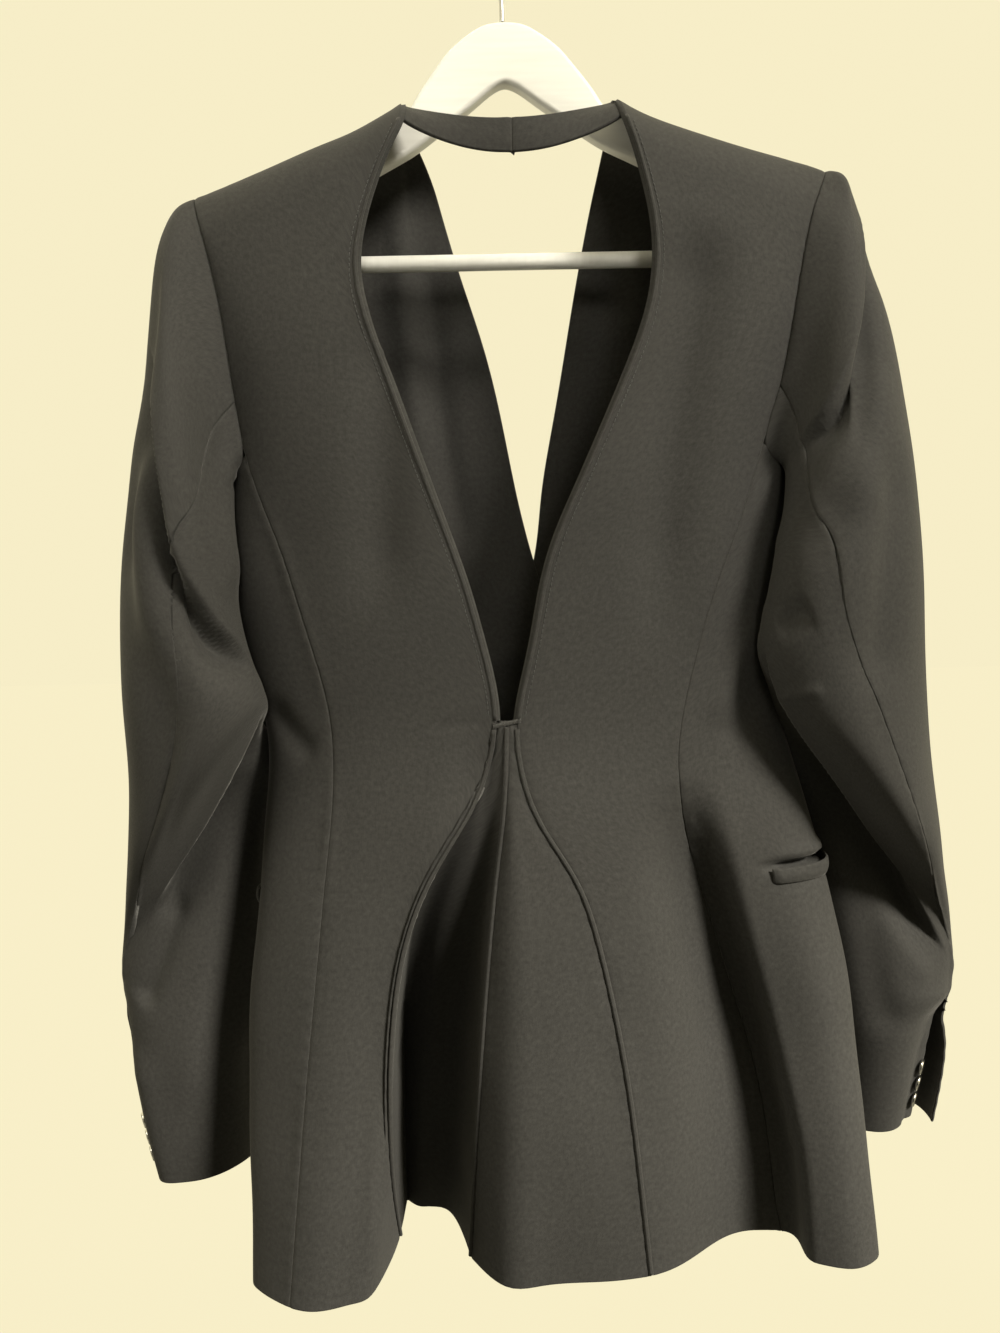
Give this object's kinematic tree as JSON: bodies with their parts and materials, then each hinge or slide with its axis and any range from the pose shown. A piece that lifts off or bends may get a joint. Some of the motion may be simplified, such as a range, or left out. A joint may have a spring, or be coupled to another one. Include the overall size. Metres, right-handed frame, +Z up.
{
  "type": "open-back blazer on a hanger",
  "caption": "Collarless tailored blazer with a keyhole open back, a godet below the waist and padded set-in sleeves, hung on a wooden hanger with a trouser bar and a wire hook.",
  "frame": {"origin": "the seat of the hanger's hook, where it rests on the rail", "axes": "+X to the wearer's right, +Y to the front of the blazer, +Z up"},
  "size_m": [0.5777, 0.1877, 0.8582],
  "materials": {
    "blazer_cloth": "matte black suiting with a fine weave and a faint sheen",
    "cuff_button": "polished pale metal",
    "front_button": "satin black",
    "hanger_wood": "white lacquered wood",
    "hook_wire": "bright wire"
  },
  "bodies": {
    "root": {"back_left": "blazer_cloth", "back_right": "blazer_cloth", "side_left": "blazer_cloth", "side_right": "blazer_cloth", "front_left": "blazer_cloth", "front_right": "blazer_cloth", "godet_left": "blazer_cloth", "godet_right": "blazer_cloth", "neckband_left": "blazer_cloth", "neckband_right": "blazer_cloth", "sleeve_left_upper": "blazer_cloth", "sleeve_left_under": "blazer_cloth", "sleeve_right_upper": "blazer_cloth", "sleeve_right_under": "blazer_cloth", "opening_edge_left": "blazer_cloth", "opening_edge_right": "blazer_cloth", "piping_left": "blazer_cloth", "piping_centre": "blazer_cloth", "piping_right": "blazer_cloth", "pocket_welt_left": "blazer_cloth", "pocket_welt_right": "blazer_cloth", "cuff_button_left_1": "cuff_button", "cuff_button_left_2": "cuff_button", "cuff_button_left_3": "cuff_button", "cuff_button_right_1": "cuff_button", "cuff_button_right_2": "cuff_button", "cuff_button_right_3": "cuff_button", "front_button": "front_button", "hanger_body": "hanger_wood", "hanger_bar": "hanger_wood", "hanger_hook": "hook_wire"}
  },
  "joints": []
}
